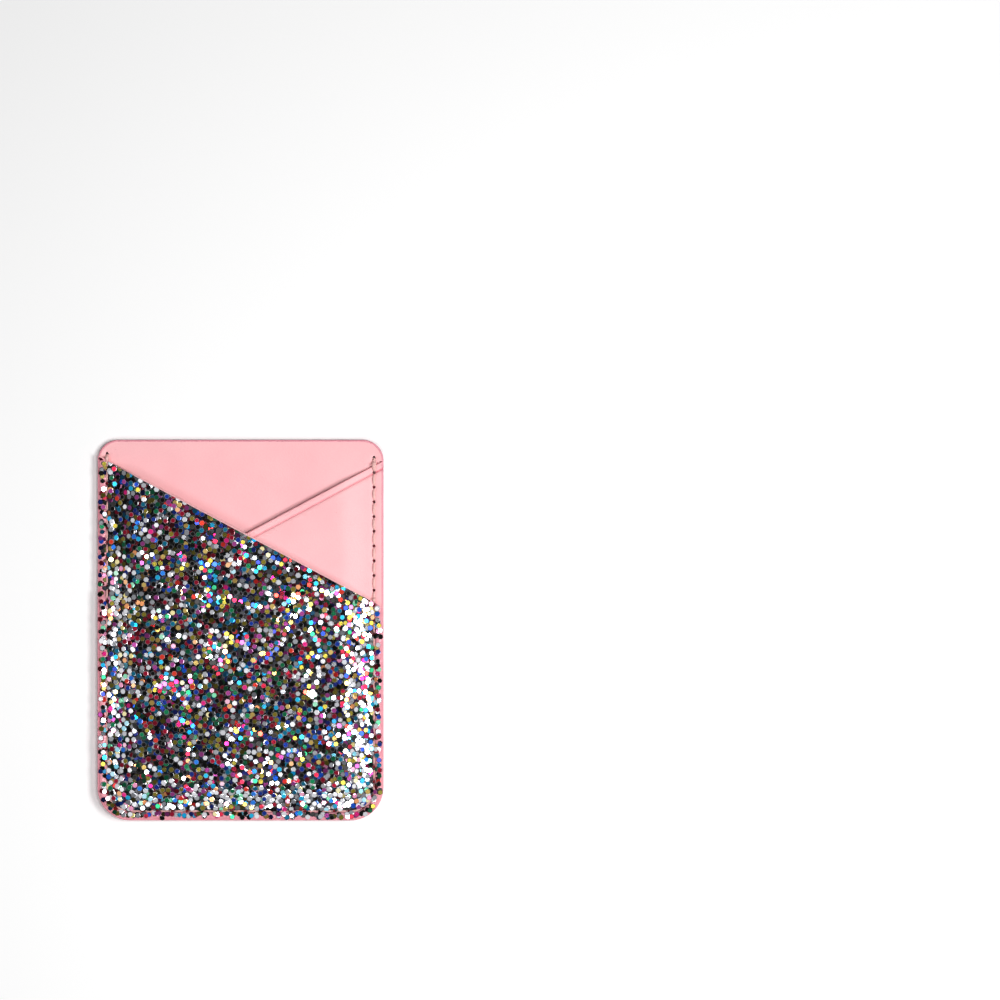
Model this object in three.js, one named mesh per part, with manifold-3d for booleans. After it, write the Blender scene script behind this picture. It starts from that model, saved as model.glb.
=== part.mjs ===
// A stick-on card holder: a flat sewn wallet with two pockets whose slanting mouths cross.
// Sizes are in millimetres. X runs across the holder, Y from its bottom edge to its mouth,
// and Z out of its front. The origin is the middle of the sticking face.
import * as THREE from "three";
import { mergeVertices } from "three/addons/utils/BufferGeometryUtils.js";
import Module from "manifold-3d";

const wasm = await Module();
wasm.setup();

// Outline that all the sewn sheets share
const width = 61;
const height = 81.2;
const topRadius = 4.4;
const bottomRadius = 7;
const edgeBevel = 0.2;

// Sheet thicknesses, from the sticking face outwards
const adhesiveThickness = 0.5;
const backThickness = 0.8;
const middleThickness = 0.6;
const frontThickness = 0.6;
const glitterThickness = 0.2;

// Slanting mouths, as depths below the top edge at the left and right sides
const frontDepthLeft = 3.2;
const frontDepthRight = 35.5;
const middleDepthLeft = 36.8;
const middleDepthRight = 4.4;
const tipRound = 0.6;

// Lockstitch seam up both sides and round the bottom
const seamInset = 2;
const seamDepthLeft = 3;
const seamDepthRight = 3.8;
const stitchPitch = 3.15;
const needleDiameter = 0.5;
const bobbinDiameter = 0.34;
const legGap = 0.15;
const threadSides = 5;
const threadClearance = 0.06;

// Each pocket sheet is flat along the seam, then rises in a smooth curve, so that the pocket stands open
const rimPastSeam = 0.7;
const pocketGap = 1;
const riseRun = 6.5;
const riseSteps = 6;

// The adhesive stops short of the seam
const adhesivePastSeam = 1.2;

// A line pressed into the middle sheet beside its mouth
const creaseInset = 1.4;
const creaseWidth = 0.35;
const creaseDepth = 0.15;

// At the left rim the front sheet comes down past the middle sheet's lower end
const dropClearance = 0.4;
const dropLength = 3.5;
const dropSteps = 4;

// Glitter flakes bonded on in one layer, as a close field of small tilted facets
const glitterInset = 0.4;
const glitterTrim = 0.25;
const bondClearance = 0.02;
const flakePitch = 1.65;
const flakeRelief = 0.3;
const rimRelief = 0.04;
const flakeJitter = 0.3;
const reliefRamp = 0.33;
const fieldMargin = 1;

// Drawing steps, the smallest bend of an inner corner, and how far a cutter reaches past what it cuts
const cornerSteps = 6;
const smallestBend = 0.3;
const reach = 12;
const weldDistance = 1e-5;

// Factors that scatter the flakes in a way that repeats on each run
const scatterFactors = [12.9898, 78.233, 37.719];
const scatterStretch = 43758.5453;

const palePink = 0xf7b3b8;
const pink = 0xf3a9b0;
const threadPink = 0xe9b6a8;
const glitterGrey = 0x6e6a6a;
const adhesiveWhite = 0xe8e8e4;

// Places worked out from the sizes above
const rightX = width / 2;
const topY = height / 2;
const bottomY = -height / 2;
const backBottom = adhesiveThickness;
const backTop = backBottom + backThickness;
const rimWidth = seamInset + rimPastSeam;

// Solids

function toManifold(geometry) {
  const bare = new THREE.BufferGeometry();
  bare.setAttribute("position", geometry.getAttribute("position"));
  if (geometry.index) bare.setIndex(geometry.index);
  const merged = mergeVertices(bare, weldDistance);
  const index = merged.index.array;
  const kept = [];
  for (let i = 0; i < index.length; i += 3) {
    const [a, b, c] = index.slice(i, i + 3);
    if (a !== b && b !== c && c !== a) kept.push(a, b, c);
  }
  const mesh = new wasm.Mesh({
    numProp: 3,
    vertProperties: merged.getAttribute("position").array,
    triVerts: new Uint32Array(kept),
  });
  return new wasm.Manifold(mesh);
}

function toGeometry(solid) {
  const mesh = solid.getMesh();
  const geometry = new THREE.BufferGeometry();
  geometry.setAttribute("position", new THREE.BufferAttribute(mesh.vertProperties, 3));
  geometry.setIndex(new THREE.BufferAttribute(mesh.triVerts, 1));
  const flat = geometry.toNonIndexed();
  flat.computeVertexNormals();
  return flat;
}

// A closed solid skinned through rings that all have as many points. Each end is a fan about its middle.
function loft(rings) {
  const count = rings[0].length;
  const points = rings.flat();
  const index = [];
  const at = (ring, i) => ring * count + (i % count);
  for (let ring = 0; ring + 1 < rings.length; ring++) {
    for (let i = 0; i < count; i++) {
      const [a, b, c, d] = [at(ring, i), at(ring, i + 1), at(ring + 1, i + 1), at(ring + 1, i)];
      index.push(a, b, c, a, c, d);
    }
  }
  for (const [ring, turned] of [[0, true], [rings.length - 1, false]]) {
    const middle = points.length;
    points.push(rings[ring].reduce((sum, p) => sum.add(p), new THREE.Vector3()).divideScalar(count));
    for (let i = 0; i < count; i++) {
      const [a, b] = [at(ring, i), at(ring, i + 1)];
      if (turned) index.push(middle, b, a);
      else index.push(middle, a, b);
    }
  }
  const geometry = new THREE.BufferGeometry().setFromPoints(points);
  geometry.setIndex(index);
  return toManifold(geometry);
}

// An upright prism over an outline
function prism(shape, low, high) {
  const geometry = new THREE.ExtrudeGeometry(shape, {
    depth: high - low,
    bevelEnabled: false,
    curveSegments: cornerSteps,
  });
  geometry.translate(0, 0, low);
  return toManifold(geometry);
}

// Outlines at a distance inside the edge, anticlockwise from the left end of the top edge

function corner(signX, signY, inset, radius) {
  const bend = Math.max(radius - inset, smallestBend);
  const centreX = signX * (rightX - inset - bend);
  const centreY = signY * (topY - inset - bend);
  const middle = Math.atan2(signY, signX);
  const points = [];
  for (let i = 0; i <= cornerSteps; i++) {
    const angle = middle + (i / cornerSteps - 0.5) * (Math.PI / 2);
    points.push(new THREE.Vector2(centreX + bend * Math.cos(angle), centreY + bend * Math.sin(angle)));
  }
  return points;
}

function closedOutline(inset) {
  return [
    ...corner(-1, 1, inset, topRadius),
    ...corner(-1, -1, inset, bottomRadius),
    ...corner(1, -1, inset, bottomRadius),
    ...corner(1, 1, inset, topRadius),
  ];
}

// Heights of a slanting mouth, and of the steps by which the front sheet comes down beside its low end
function mouthHeight([depthLeft, depthRight], x) {
  return topY - depthLeft - ((depthRight - depthLeft) * (x + rightX)) / width;
}

const frontMouth = [frontDepthLeft, frontDepthRight];
const middleMouth = [middleDepthLeft, middleDepthRight];
const dropLow = mouthHeight(middleMouth, -rightX + rimWidth) + dropClearance;
const dropHigh = dropLow + dropLength;

// A pocket sheet has no rim along its mouth, so its outline runs on past the top edge
function pocketOutline(inset) {
  const side = rightX - inset;
  const points = [new THREE.Vector2(-side, topY + reach)];
  for (let i = 0; i <= dropSteps; i++) {
    points.push(new THREE.Vector2(-side, THREE.MathUtils.lerp(dropHigh, dropLow, i / dropSteps)));
  }
  points.push(...corner(-1, -1, inset, bottomRadius), ...corner(1, -1, inset, bottomRadius));
  points.push(new THREE.Vector2(side, topY + reach));
  return points;
}

// The underside of each pocket sheet at a place, from its level at the seam by a share of its rise

const middleSheet = (share) => backTop + pocketGap * share;

function frontSheet(share, x, y) {
  const drop = x > 0 ? 0 : middleThickness * THREE.MathUtils.smoothstep(y, dropLow, dropHigh);
  return backTop + middleThickness + 2 * pocketGap * share - drop * (1 - share);
}

const riseShare = (inset) => THREE.MathUtils.smoothstep(inset, rimWidth, rimWidth + riseRun);

function sheetRing(sheet, inset, lift) {
  const share = riseShare(inset);
  return pocketOutline(inset).map((p) => new THREE.Vector3(p.x, p.y, sheet(share, p.x, p.y) + lift));
}

function risingRings(sheet, lift) {
  const rings = [];
  for (let i = 0; i <= riseSteps; i++) {
    rings.push(sheetRing(sheet, rimWidth + (i / riseSteps) * riseRun, lift));
  }
  return rings;
}

function sheetSolid(sheet, thickness) {
  return loft([
    ...risingRings(sheet, 0).reverse(),
    sheetRing(sheet, 0, 0),
    sheetRing(sheet, 0, thickness - edgeBevel),
    sheetRing(sheet, edgeBevel, thickness),
    ...risingRings(sheet, thickness),
  ]);
}

// Everything below a sheet's surface at one lift
function groundSolid(sheet, lift) {
  const top = sheetRing(sheet, -reach, lift);
  const base = top.map((p) => new THREE.Vector3(p.x, p.y, -reach));
  return loft([base, top, ...risingRings(sheet, lift)]);
}

// What lies below a slanting mouth, with both tips rounded. A trim moves the mouth down, square to itself.
function belowMouth(mouth, trim) {
  const slant = Math.hypot(1, (mouth[1] - mouth[0]) / width);
  const level = (x) => mouthHeight(mouth, x) - trim * slant;
  const shape = new THREE.Shape();
  shape.moveTo(-rightX - reach, bottomY - reach);
  shape.lineTo(rightX + reach, bottomY - reach);
  shape.lineTo(rightX + reach, level(rightX) - tipRound);
  shape.lineTo(rightX, level(rightX) - tipRound);
  shape.quadraticCurveTo(rightX, level(rightX), rightX - tipRound, level(rightX - tipRound));
  shape.lineTo(-rightX + tipRound, level(-rightX + tipRound));
  shape.quadraticCurveTo(-rightX, level(-rightX), -rightX, level(-rightX) - tipRound);
  shape.lineTo(-rightX - reach, level(-rightX) - tipRound);
  return prism(shape, -reach, 2 * reach);
}

// The seam

const seamRadius = bottomRadius - seamInset;
const seamBend = (Math.PI / 2) * seamRadius;
const seamLeft = height - seamDepthLeft - bottomRadius;
const seamRight = height - seamDepthRight - bottomRadius;
const seamBottom = width - 2 * bottomRadius;
const seamLength = seamLeft + seamBend + seamBottom + seamBend + seamRight;
const stitchCount = Math.round(seamLength / stitchPitch);
const stitchStep = seamLength / stitchCount;

// A place on the seam line and the way it runs, at a length along it from the left end
function seamAt(length) {
  const arc = (sign, along) => {
    const angle = (sign < 0 ? Math.PI : 1.5 * Math.PI) + along / seamRadius;
    const centre = new THREE.Vector2(sign * (rightX - bottomRadius), bottomY + bottomRadius);
    const out = new THREE.Vector2(Math.cos(angle), Math.sin(angle));
    return { point: centre.addScaledVector(out, seamRadius), angle: angle + Math.PI / 2 };
  };
  const line = (x, y, angle) => ({ point: new THREE.Vector2(x, y), angle });
  let left = length;
  if (left <= seamLeft) return line(-rightX + seamInset, topY - seamDepthLeft - left, -Math.PI / 2);
  left -= seamLeft;
  if (left <= seamBend) return arc(-1, left);
  left -= seamBend;
  if (left <= seamBottom) return line(-rightX + bottomRadius + left, bottomY + seamInset, 0);
  left -= seamBottom;
  if (left <= seamBend) return arc(1, left);
  left -= seamBend;
  return line(rightX - seamInset, bottomY + bottomRadius + left, Math.PI / 2);
}

// The top of the stack of sheets at a length along the seam
function stackTop(length) {
  const { x, y } = seamAt(length).point;
  const glitterTop = frontThickness + glitterThickness + rimRelief;
  if (y < mouthHeight(frontMouth, x)) return frontSheet(0, x, y) + glitterTop;
  if (y < mouthHeight(middleMouth, x)) return backTop + middleThickness;
  return backTop;
}

function highestNear(length, span) {
  return Math.max(...[-1, -0.5, 0, 0.5, 1].map((share) => stackTop(length + share * span)));
}

// Each hole takes the needle thread's two legs side by side
const legSpacing = needleDiameter + legGap;
const holeLength = legSpacing + needleDiameter + 2 * threadClearance;
const holeWidth = needleDiameter + 2 * threadClearance;
const needleRadius = needleDiameter / 2;
const bobbinRadius = bobbinDiameter / 2;

// The two threads lock halfway through the stack
const lockLevel = (hole) => (backBottom + stackTop(hole * stitchStep)) / 2;

function seamPoint(length, z) {
  const { point } = seamAt(length);
  return new THREE.Vector3(point.x, point.y, z);
}

// The needle thread runs over the front and goes down each hole to the lock
function needlePath() {
  const path = [];
  const runLevel = (length) => highestNear(length, needleDiameter) + threadClearance + needleRadius;
  for (let i = 0; i < stitchCount; i++) {
    const from = i * stitchStep + legSpacing / 2;
    const to = (i + 1) * stitchStep - legSpacing / 2;
    const middle = (from + to) / 2;
    path.push(seamPoint(from, lockLevel(i) + threadClearance + needleRadius));
    path.push(seamPoint(from, runLevel(from)));
    if (Math.abs(runLevel(from) - runLevel(to)) > threadClearance) {
      path.push(seamPoint(middle, Math.max(runLevel(from), runLevel(middle), runLevel(to))));
    }
    path.push(seamPoint(to, runLevel(to)));
    path.push(seamPoint(to, lockLevel(i + 1) + threadClearance + needleRadius));
  }
  return path;
}

// The bobbin thread runs along the back and comes up each hole to the lock
function bobbinPath() {
  const path = [];
  const run = backBottom - threadClearance - bobbinRadius;
  for (let i = 0; i < stitchCount; i++) {
    const from = i * stitchStep + legSpacing / 2;
    const to = (i + 1) * stitchStep - legSpacing / 2;
    path.push(seamPoint(from, lockLevel(i) - threadClearance - bobbinRadius));
    path.push(seamPoint(from, run));
    path.push(seamPoint(to, run));
    path.push(seamPoint(to, lockLevel(i + 1) - threadClearance - bobbinRadius));
  }
  return path;
}

// The direction of the stretch that starts at a point of a path, held past both ends
function stretchFrom(path, i) {
  const start = THREE.MathUtils.clamp(i, 0, path.length - 2);
  return new THREE.Vector3().subVectors(path[start + 1], path[start]).normalize();
}

// A thread skinned through a section at each point of its path, mitred where the path turns
function threadSolid(path, radius) {
  const up = new THREE.Vector3(0, 0, 1);
  const rings = path.map((point, i) => {
    const ahead = stretchFrom(path, i);
    const behind = stretchFrom(path, i - 1);
    const along = new THREE.Vector3().addVectors(ahead, behind).normalize();
    const level = new THREE.Vector3(ahead.x + behind.x, ahead.y + behind.y, 0).normalize();
    const side = new THREE.Vector3().crossVectors(up, level);
    const lift = new THREE.Vector3().crossVectors(along, side);
    const mitre = 1 / along.dot(behind);
    return Array.from({ length: threadSides }, (_, k) => {
      const angle = Math.PI / 2 + (2 * Math.PI * k) / threadSides;
      return point
        .clone()
        .addScaledVector(side, radius * Math.cos(angle))
        .addScaledVector(lift, radius * mitre * Math.sin(angle));
    });
  });
  return loft(rings);
}

function stitchHoles() {
  const cutters = [];
  for (let i = 0; i <= stitchCount; i++) {
    const { point, angle } = seamAt(i * stitchStep);
    const box = new THREE.BoxGeometry(holeLength, holeWidth, 2 * reach);
    box.rotateZ(angle);
    box.translate(point.x, point.y, 0);
    cutters.push(toManifold(box));
  }
  return wasm.Manifold.union(cutters);
}

// The pieces

function adhesiveSheet() {
  const outline = closedOutline(seamInset + adhesivePastSeam);
  return prism(new THREE.Shape(outline), 0, adhesiveThickness);
}

function backPanel(holes) {
  const ring = (inset, z) => closedOutline(inset).map((p) => new THREE.Vector3(p.x, p.y, z));
  const sheet = loft([
    ring(edgeBevel, backBottom),
    ring(0, backBottom + edgeBevel),
    ring(0, backTop - edgeBevel),
    ring(edgeBevel, backTop),
  ]);
  return sheet.subtract(holes);
}

function middlePanel(holes) {
  const crease = belowMouth(middleMouth, creaseInset)
    .subtract(belowMouth(middleMouth, creaseInset + creaseWidth))
    .subtract(groundSolid(middleSheet, middleThickness - creaseDepth));
  return sheetSolid(middleSheet, middleThickness)
    .intersect(belowMouth(middleMouth, 0))
    .subtract(crease)
    .subtract(holes);
}

function frontPanel(holes) {
  return sheetSolid(frontSheet, frontThickness).intersect(belowMouth(frontMouth, 0)).subtract(holes);
}

// How far a place lies inside the outline, measured square to the nearest side or bottom corner
function insetAt(x, y) {
  const cornerX = Math.abs(x) - (rightX - bottomRadius);
  const cornerY = bottomY + bottomRadius - y;
  if (cornerX > 0 && cornerY > 0) return bottomRadius - Math.hypot(cornerX, cornerY);
  return Math.min(rightX - Math.abs(x), y - bottomY);
}

// A repeatable number from 0 to 1 for a cell of the flake field
function scatter(...cell) {
  const phase = cell.reduce((sum, part, i) => sum + part * scatterFactors[i], 0);
  const value = Math.sin(phase) * scatterStretch;
  return value - Math.floor(value);
}

function flakeField() {
  const columns = Math.ceil(width / flakePitch) + 2 * fieldMargin;
  const rows = Math.ceil(height / flakePitch) + 2 * fieldMargin;
  const block = new THREE.BoxGeometry(columns * flakePitch, rows * flakePitch, 2 * reach, columns, rows, 1);
  const position = block.getAttribute("position");
  for (let i = 0; i < position.count; i++) {
    if (position.getZ(i) < 0) continue;
    const column = Math.round(position.getX(i) / flakePitch + columns / 2);
    const row = Math.round(position.getY(i) / flakePitch + rows / 2);
    const x = position.getX(i) + flakeJitter * flakePitch * (2 * scatter(column, row, 1) - 1);
    const y = position.getY(i) + flakeJitter * flakePitch * (2 * scatter(column, row, 2) - 1);
    const share = riseShare(insetAt(x, y));
    const relief = THREE.MathUtils.lerp(rimRelief, flakeRelief, Math.min(1, share / reliefRamp));
    const lift = frontThickness + glitterThickness + relief * scatter(column, row, 3);
    position.setXYZ(i, x, y, frontSheet(share, x, y) + lift);
  }
  return toManifold(block);
}

function glitterLayer(holes) {
  const inner = new THREE.Shape(pocketOutline(glitterInset));
  return flakeField()
    .intersect(prism(inner, -reach, reach))
    .intersect(belowMouth(frontMouth, glitterTrim))
    .subtract(groundSolid(frontSheet, frontThickness + bondClearance))
    .subtract(holes);
}

// The holder

function piece(name, solid, color, roughness, metalness) {
  const material = new THREE.MeshStandardMaterial({ color, roughness, metalness });
  const mesh = new THREE.Mesh(toGeometry(solid), material);
  mesh.name = name;
  return mesh;
}

const holes = stitchHoles();
const holder = new THREE.Group();
holder.add(
  piece("adhesive_sheet", adhesiveSheet(), adhesiveWhite, 0.6, 0),
  piece("back_panel", backPanel(holes), palePink, 0.5, 0),
  piece("middle_panel", middlePanel(holes), pink, 0.5, 0),
  piece("front_panel", frontPanel(holes), pink, 0.55, 0),
  piece("glitter_layer", glitterLayer(holes), glitterGrey, 0.3, 0.8),
  piece("needle_thread", threadSolid(needlePath(), needleRadius), threadPink, 0.7, 0),
  piece("bobbin_thread", threadSolid(bobbinPath(), bobbinRadius), threadPink, 0.7, 0),
);

export default holder;
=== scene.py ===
# A stick-on card holder, dressed over its solids: pink leather sheets, a coat of glitter flakes, twisted
# stitching and an adhesive pad. Lengths are in millimetres up to make_object, which turns them into metres.
import math

import bpy
import numpy as np
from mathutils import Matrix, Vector, noise
from mathutils.geometry import delaunay_2d_cdt


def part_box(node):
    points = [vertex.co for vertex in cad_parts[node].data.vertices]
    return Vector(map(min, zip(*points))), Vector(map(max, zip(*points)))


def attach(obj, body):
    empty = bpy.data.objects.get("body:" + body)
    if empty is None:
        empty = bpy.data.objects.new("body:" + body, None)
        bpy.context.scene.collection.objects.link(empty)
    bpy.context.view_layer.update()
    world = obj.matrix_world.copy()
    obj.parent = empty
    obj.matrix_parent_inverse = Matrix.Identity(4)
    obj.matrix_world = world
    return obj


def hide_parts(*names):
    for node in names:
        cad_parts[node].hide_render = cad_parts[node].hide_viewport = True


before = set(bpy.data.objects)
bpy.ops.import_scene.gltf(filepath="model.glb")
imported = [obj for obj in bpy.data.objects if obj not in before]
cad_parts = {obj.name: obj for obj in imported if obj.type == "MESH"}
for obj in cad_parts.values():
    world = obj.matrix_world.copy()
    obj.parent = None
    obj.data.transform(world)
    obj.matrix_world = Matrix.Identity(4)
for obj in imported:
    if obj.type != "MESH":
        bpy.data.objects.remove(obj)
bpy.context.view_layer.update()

MM = 0.001

# Outline and levels, from the frame
back_low, back_high = (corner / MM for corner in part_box("back_panel"))
RIGHT = back_high.x
TOP = back_high.y
BOTTOM = back_low.y
WIDTH = back_high.x - back_low.x
HEIGHT = back_high.y - back_low.y
BACK_BOTTOM = back_low.z
BACK_TOP = back_high.z

# Sizes that the solids were made with
TOP_RADIUS = 4.4
BOTTOM_RADIUS = 7
MIDDLE_THICKNESS = 0.6
FRONT_THICKNESS = 0.6
GLITTER_THICKNESS = 0.2
FRONT_MOUTH = (3.2, 35.5)
MIDDLE_MOUTH = (36.8, 4.4)
TIP_ROUND = 0.6
SEAM_INSET = 2
SEAM_DEPTH_LEFT = 3
SEAM_DEPTH_RIGHT = 3.8
STITCH_PITCH = 3.15
RIM_WIDTH = 2.7
POCKET_GAP = 1
RISE_RUN = 6.5
DROP_CLEARANCE = 0.4
DROP_LENGTH = 3.5
ADHESIVE_INSET = 3.2
GLITTER_INSET = 0.4
GLITTER_TRIM = 0.25

# The line pressed into the middle sheet
CREASE_INSET = 1.5
CREASE_WIDTH = 0.15
CREASE_DEPTH = 0.24
# How far the line and the mouth are darkened towards rose on the rim and inside it, and where that changes
RIM_DARKENING = 0.9
FIELD_DARKENING = 0.45
DARKENING_FADE = (1.6, 3.2)
# Lines of points along it, at offsets from its middle
CREASE_OFFSETS = (-0.34, -0.2, -0.1, 0, 0.1, 0.2, 0.34)
CREASE_STEP = 0.4
CREASE_END = 0.7
CREASE_HOLE_MARGIN = 0.1

# Needle holes and the puckers round them
HOLE_HALF_LENGTH = 0.6
HOLE_HALF_WIDTH = 0.38
GROOVE_WIDTH = 0.42
GROOVE_DEPTH = 0.17
PUCKER_WIDTH = 0.55
PUCKER_DEPTH = 0.1

# How far the edges are rounded. The middle sheet's mouth is rounded more tightly, and the glitter
# less high than wide
BACK_ROUND = 0.22
BACK_UNDER_ROUND = 0.2
MIDDLE_ROUND = 0.2
MOUTH_TIGHTNESS = 1.4
FRONT_ROUND = 0.25
POCKET_UNDER_ROUND = 0.12
GLITTER_ROUND = 0.3
GLITTER_ROUND_HEIGHT = 0.5

# How much deeper the seam sinks in the glitter, and the gap under it that keeps its faces apart
GLITTER_SINK = 1.25
GLITTER_GAP = 0.01

# Soft waves in the glitter sheet, as (wavelength along X, along Y, height, seed), and the distance
# over which they come up inside the seam
WAVES = ((8.0, 6.0, 0.12, 3.0), (3.8, 3.2, 0.04, 8.0))
WAVE_RUN = 2.5

# Drawing steps
CORNER_STEPS = 20
TIP_STEPS = 6
BOUNDARY_STEP = 0.4
SMALLEST_BEND = 0.3
EDGE_RINGS = (0.05, 0.12, 0.2, 0.3, 0.42, 0.6)
SEAM_RINGS = (-0.6, -0.4, -0.25, -0.12, 0, 0.12, 0.25, 0.4, 0.6)
SEAM_RING_STEP = 0.3
SEAM_OVERRUN = 0.9
BACK_GRID = 0.9
POCKET_GRID = 0.8

# How far points keep from a sheet's edge, from its holes, and from the rings beside edge and seam
EDGE_MARGIN = 0.2
HOLE_MARGIN = 0.08
FIELD_MARGIN = 0.25
SEAM_MARGIN = 0.2
SAME_PLACE = 1e-5

# Walls nearer the mouth or the rim than this belong to them, and not to a needle hole
MOUTH_REACH = 0.4
RIM_REACH = 0.9
CORNER_REACH = 0.05
# Angles in degrees over which an edge shows as sharp
SHEET_SHARP = 42
ADHESIVE_SHARP = 40


# Shapes in plan


def corner_arc(sign_x, sign_y, inset, radius):
    """The rounded corner in one quarter of the plan, anticlockwise."""
    bend = max(radius - inset, SMALLEST_BEND)
    centre_x = sign_x * (RIGHT - inset - bend)
    centre_y = sign_y * (TOP - inset - bend)
    middle = math.atan2(sign_y, sign_x)
    angles = [middle + (i / CORNER_STEPS - 0.5) * math.pi / 2 for i in range(CORNER_STEPS + 1)]
    return [(centre_x + bend * math.cos(a), centre_y + bend * math.sin(a)) for a in angles]


def closed_loop(inset):
    """The outline of the back sheet, anticlockwise, at a distance inside its edge."""
    return (
        corner_arc(-1, 1, inset, TOP_RADIUS)
        + corner_arc(-1, -1, inset, BOTTOM_RADIUS)
        + corner_arc(1, -1, inset, BOTTOM_RADIUS)
        + corner_arc(1, 1, inset, TOP_RADIUS)
    )


def mouth_slant(mouth):
    """How much longer a slanting mouth is than the sheet is wide."""
    return math.hypot(1, (mouth[1] - mouth[0]) / WIDTH)


def mouth_height(mouth, x):
    """Where a mouth lies, given by its depths below the top edge on the left and on the right."""
    return TOP - mouth[0] - (mouth[1] - mouth[0]) * (x + RIGHT) / WIDTH


def pocket_loop(mouth, inset, trim):
    """The outline of a pocket sheet, inset from its sides and trimmed square to its slanting mouth."""
    side = RIGHT - inset

    def level(x):
        return mouth_height(mouth, x) - trim * mouth_slant(mouth)

    def tip(sign):
        corners = (
            (sign * side, level(sign * side) - TIP_ROUND),
            (sign * side, level(sign * side)),
            (sign * (side - TIP_ROUND), level(sign * (side - TIP_ROUND))),
        )
        points = []
        for i in range(TIP_STEPS + 1):
            t = i / TIP_STEPS
            weights = ((1 - t) ** 2, 2 * t * (1 - t), t**2)
            x = sum(weight * corner[0] for weight, corner in zip(weights, corners))
            y = sum(weight * corner[1] for weight, corner in zip(weights, corners))
            points.append((x, y))
        return points

    return (
        tip(-1)[::-1]
        + corner_arc(-1, -1, inset, BOTTOM_RADIUS)
        + corner_arc(1, -1, inset, BOTTOM_RADIUS)
        + tip(1)
    )


def resample(loop, step):
    """A closed loop with points added along its sides."""
    points = []
    for a, b in zip(loop, loop[1:] + loop[:1]):
        count = max(1, round(math.dist(a, b) / step))
        for i in range(count):
            points.append((a[0] + (b[0] - a[0]) * i / count, a[1] + (b[1] - a[1]) * i / count))
    return points


def inset_at(x, y):
    """How far points lie inside the outline, from its nearest side or corner."""
    inside = np.minimum(np.minimum(RIGHT - np.abs(x), y - BOTTOM), TOP - y)
    for sign, radius in ((-1, BOTTOM_RADIUS), (1, TOP_RADIUS)):
        across = np.abs(x) - (RIGHT - radius)
        along = sign * y - (TOP - radius)
        bent = radius - np.hypot(across, along)
        inside = np.where((across > 0) & (along > 0), bent, inside)
    return inside


def sides_inset_at(x, y):
    """The same for a pocket sheet, which has no rim along the top edge."""
    inside = np.minimum(RIGHT - np.abs(x), y - BOTTOM)
    across = np.abs(x) - (RIGHT - BOTTOM_RADIUS)
    along = BOTTOM + BOTTOM_RADIUS - y
    bent = BOTTOM_RADIUS - np.hypot(across, along)
    return np.where((across > 0) & (along > 0), bent, inside)


def below_mouth(mouth, x, y):
    """How far points lie below a slanting mouth, measured square to it."""
    return (mouth_height(mouth, x) - y) / mouth_slant(mouth)


# The seam

# It runs down the left side, round a corner, along the bottom, round a corner and up the right side
SEAM_RADIUS = BOTTOM_RADIUS - SEAM_INSET
SEAM_BEND = math.pi / 2 * SEAM_RADIUS
SEAM_STRETCHES = (
    HEIGHT - SEAM_DEPTH_LEFT - BOTTOM_RADIUS,
    SEAM_BEND,
    WIDTH - 2 * BOTTOM_RADIUS,
    SEAM_BEND,
    HEIGHT - SEAM_DEPTH_RIGHT - BOTTOM_RADIUS,
)
SEAM_LENGTH = sum(SEAM_STRETCHES)
STITCH_COUNT = round(SEAM_LENGTH / STITCH_PITCH)
STITCH_STEP = SEAM_LENGTH / STITCH_COUNT


def seam_at(length):
    """A place on the seam line and the angle at which it runs, from the seam's left end."""
    starts = np.cumsum((0,) + SEAM_STRETCHES)
    found = int(np.searchsorted(starts, length, side="right")) - 1
    stretch = max(0, min(len(SEAM_STRETCHES) - 1, found))
    along = length - starts[stretch]
    if stretch == 0:
        return (-RIGHT + SEAM_INSET, TOP - SEAM_DEPTH_LEFT - along), -math.pi / 2
    if stretch == 2:
        return (-RIGHT + BOTTOM_RADIUS + along, BOTTOM + SEAM_INSET), 0.0
    if stretch == 4:
        return (RIGHT - SEAM_INSET, BOTTOM + BOTTOM_RADIUS + along), math.pi / 2
    sign, start = (-1, math.pi) if stretch == 1 else (1, 1.5 * math.pi)
    angle = start + along / SEAM_RADIUS
    centre = (sign * (RIGHT - BOTTOM_RADIUS), BOTTOM + BOTTOM_RADIUS)
    place = (centre[0] + SEAM_RADIUS * math.cos(angle), centre[1] + SEAM_RADIUS * math.sin(angle))
    return place, angle + math.pi / 2


HOLES = [seam_at(i * STITCH_STEP) for i in range(STITCH_COUNT + 1)]


def seam_distance(x, y):
    """How far points lie from the seam line, which stops short of the top edge."""
    end = np.where(x < 0, TOP - SEAM_DEPTH_LEFT, TOP - SEAM_DEPTH_RIGHT)
    return np.hypot(sides_inset_at(x, y) - SEAM_INSET, np.maximum(0, y - end))


def hole_distance(x, y):
    """How far points lie from the nearest needle hole's middle."""
    nearest = np.full(np.shape(x), np.inf)
    for (hole_x, hole_y), _ in HOLES:
        nearest = np.minimum(nearest, np.hypot(x - hole_x, y - hole_y))
    return nearest


def in_hole(x, y, grown=0.0):
    """Which points lie in a diamond-shaped needle hole."""
    inside = np.zeros(np.shape(x), bool)
    for (hole_x, hole_y), angle in HOLES:
        along = (x - hole_x) * math.cos(angle) + (y - hole_y) * math.sin(angle)
        across = (y - hole_y) * math.cos(angle) - (x - hole_x) * math.sin(angle)
        share = np.abs(along) / (HOLE_HALF_LENGTH + grown) + np.abs(across) / (HOLE_HALF_WIDTH + grown)
        inside |= share < 1
    return inside


def hole_loop(place, angle):
    """The corners of a diamond-shaped needle hole."""
    points = []
    for along, across in ((1, 0), (0, 1), (-1, 0), (0, -1)):
        a = along * HOLE_HALF_LENGTH
        b = across * HOLE_HALF_WIDTH
        x = place[0] + a * math.cos(angle) - b * math.sin(angle)
        y = place[1] + a * math.sin(angle) + b * math.cos(angle)
        points.append((x, y))
    return points


# Levels of the sheets


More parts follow.
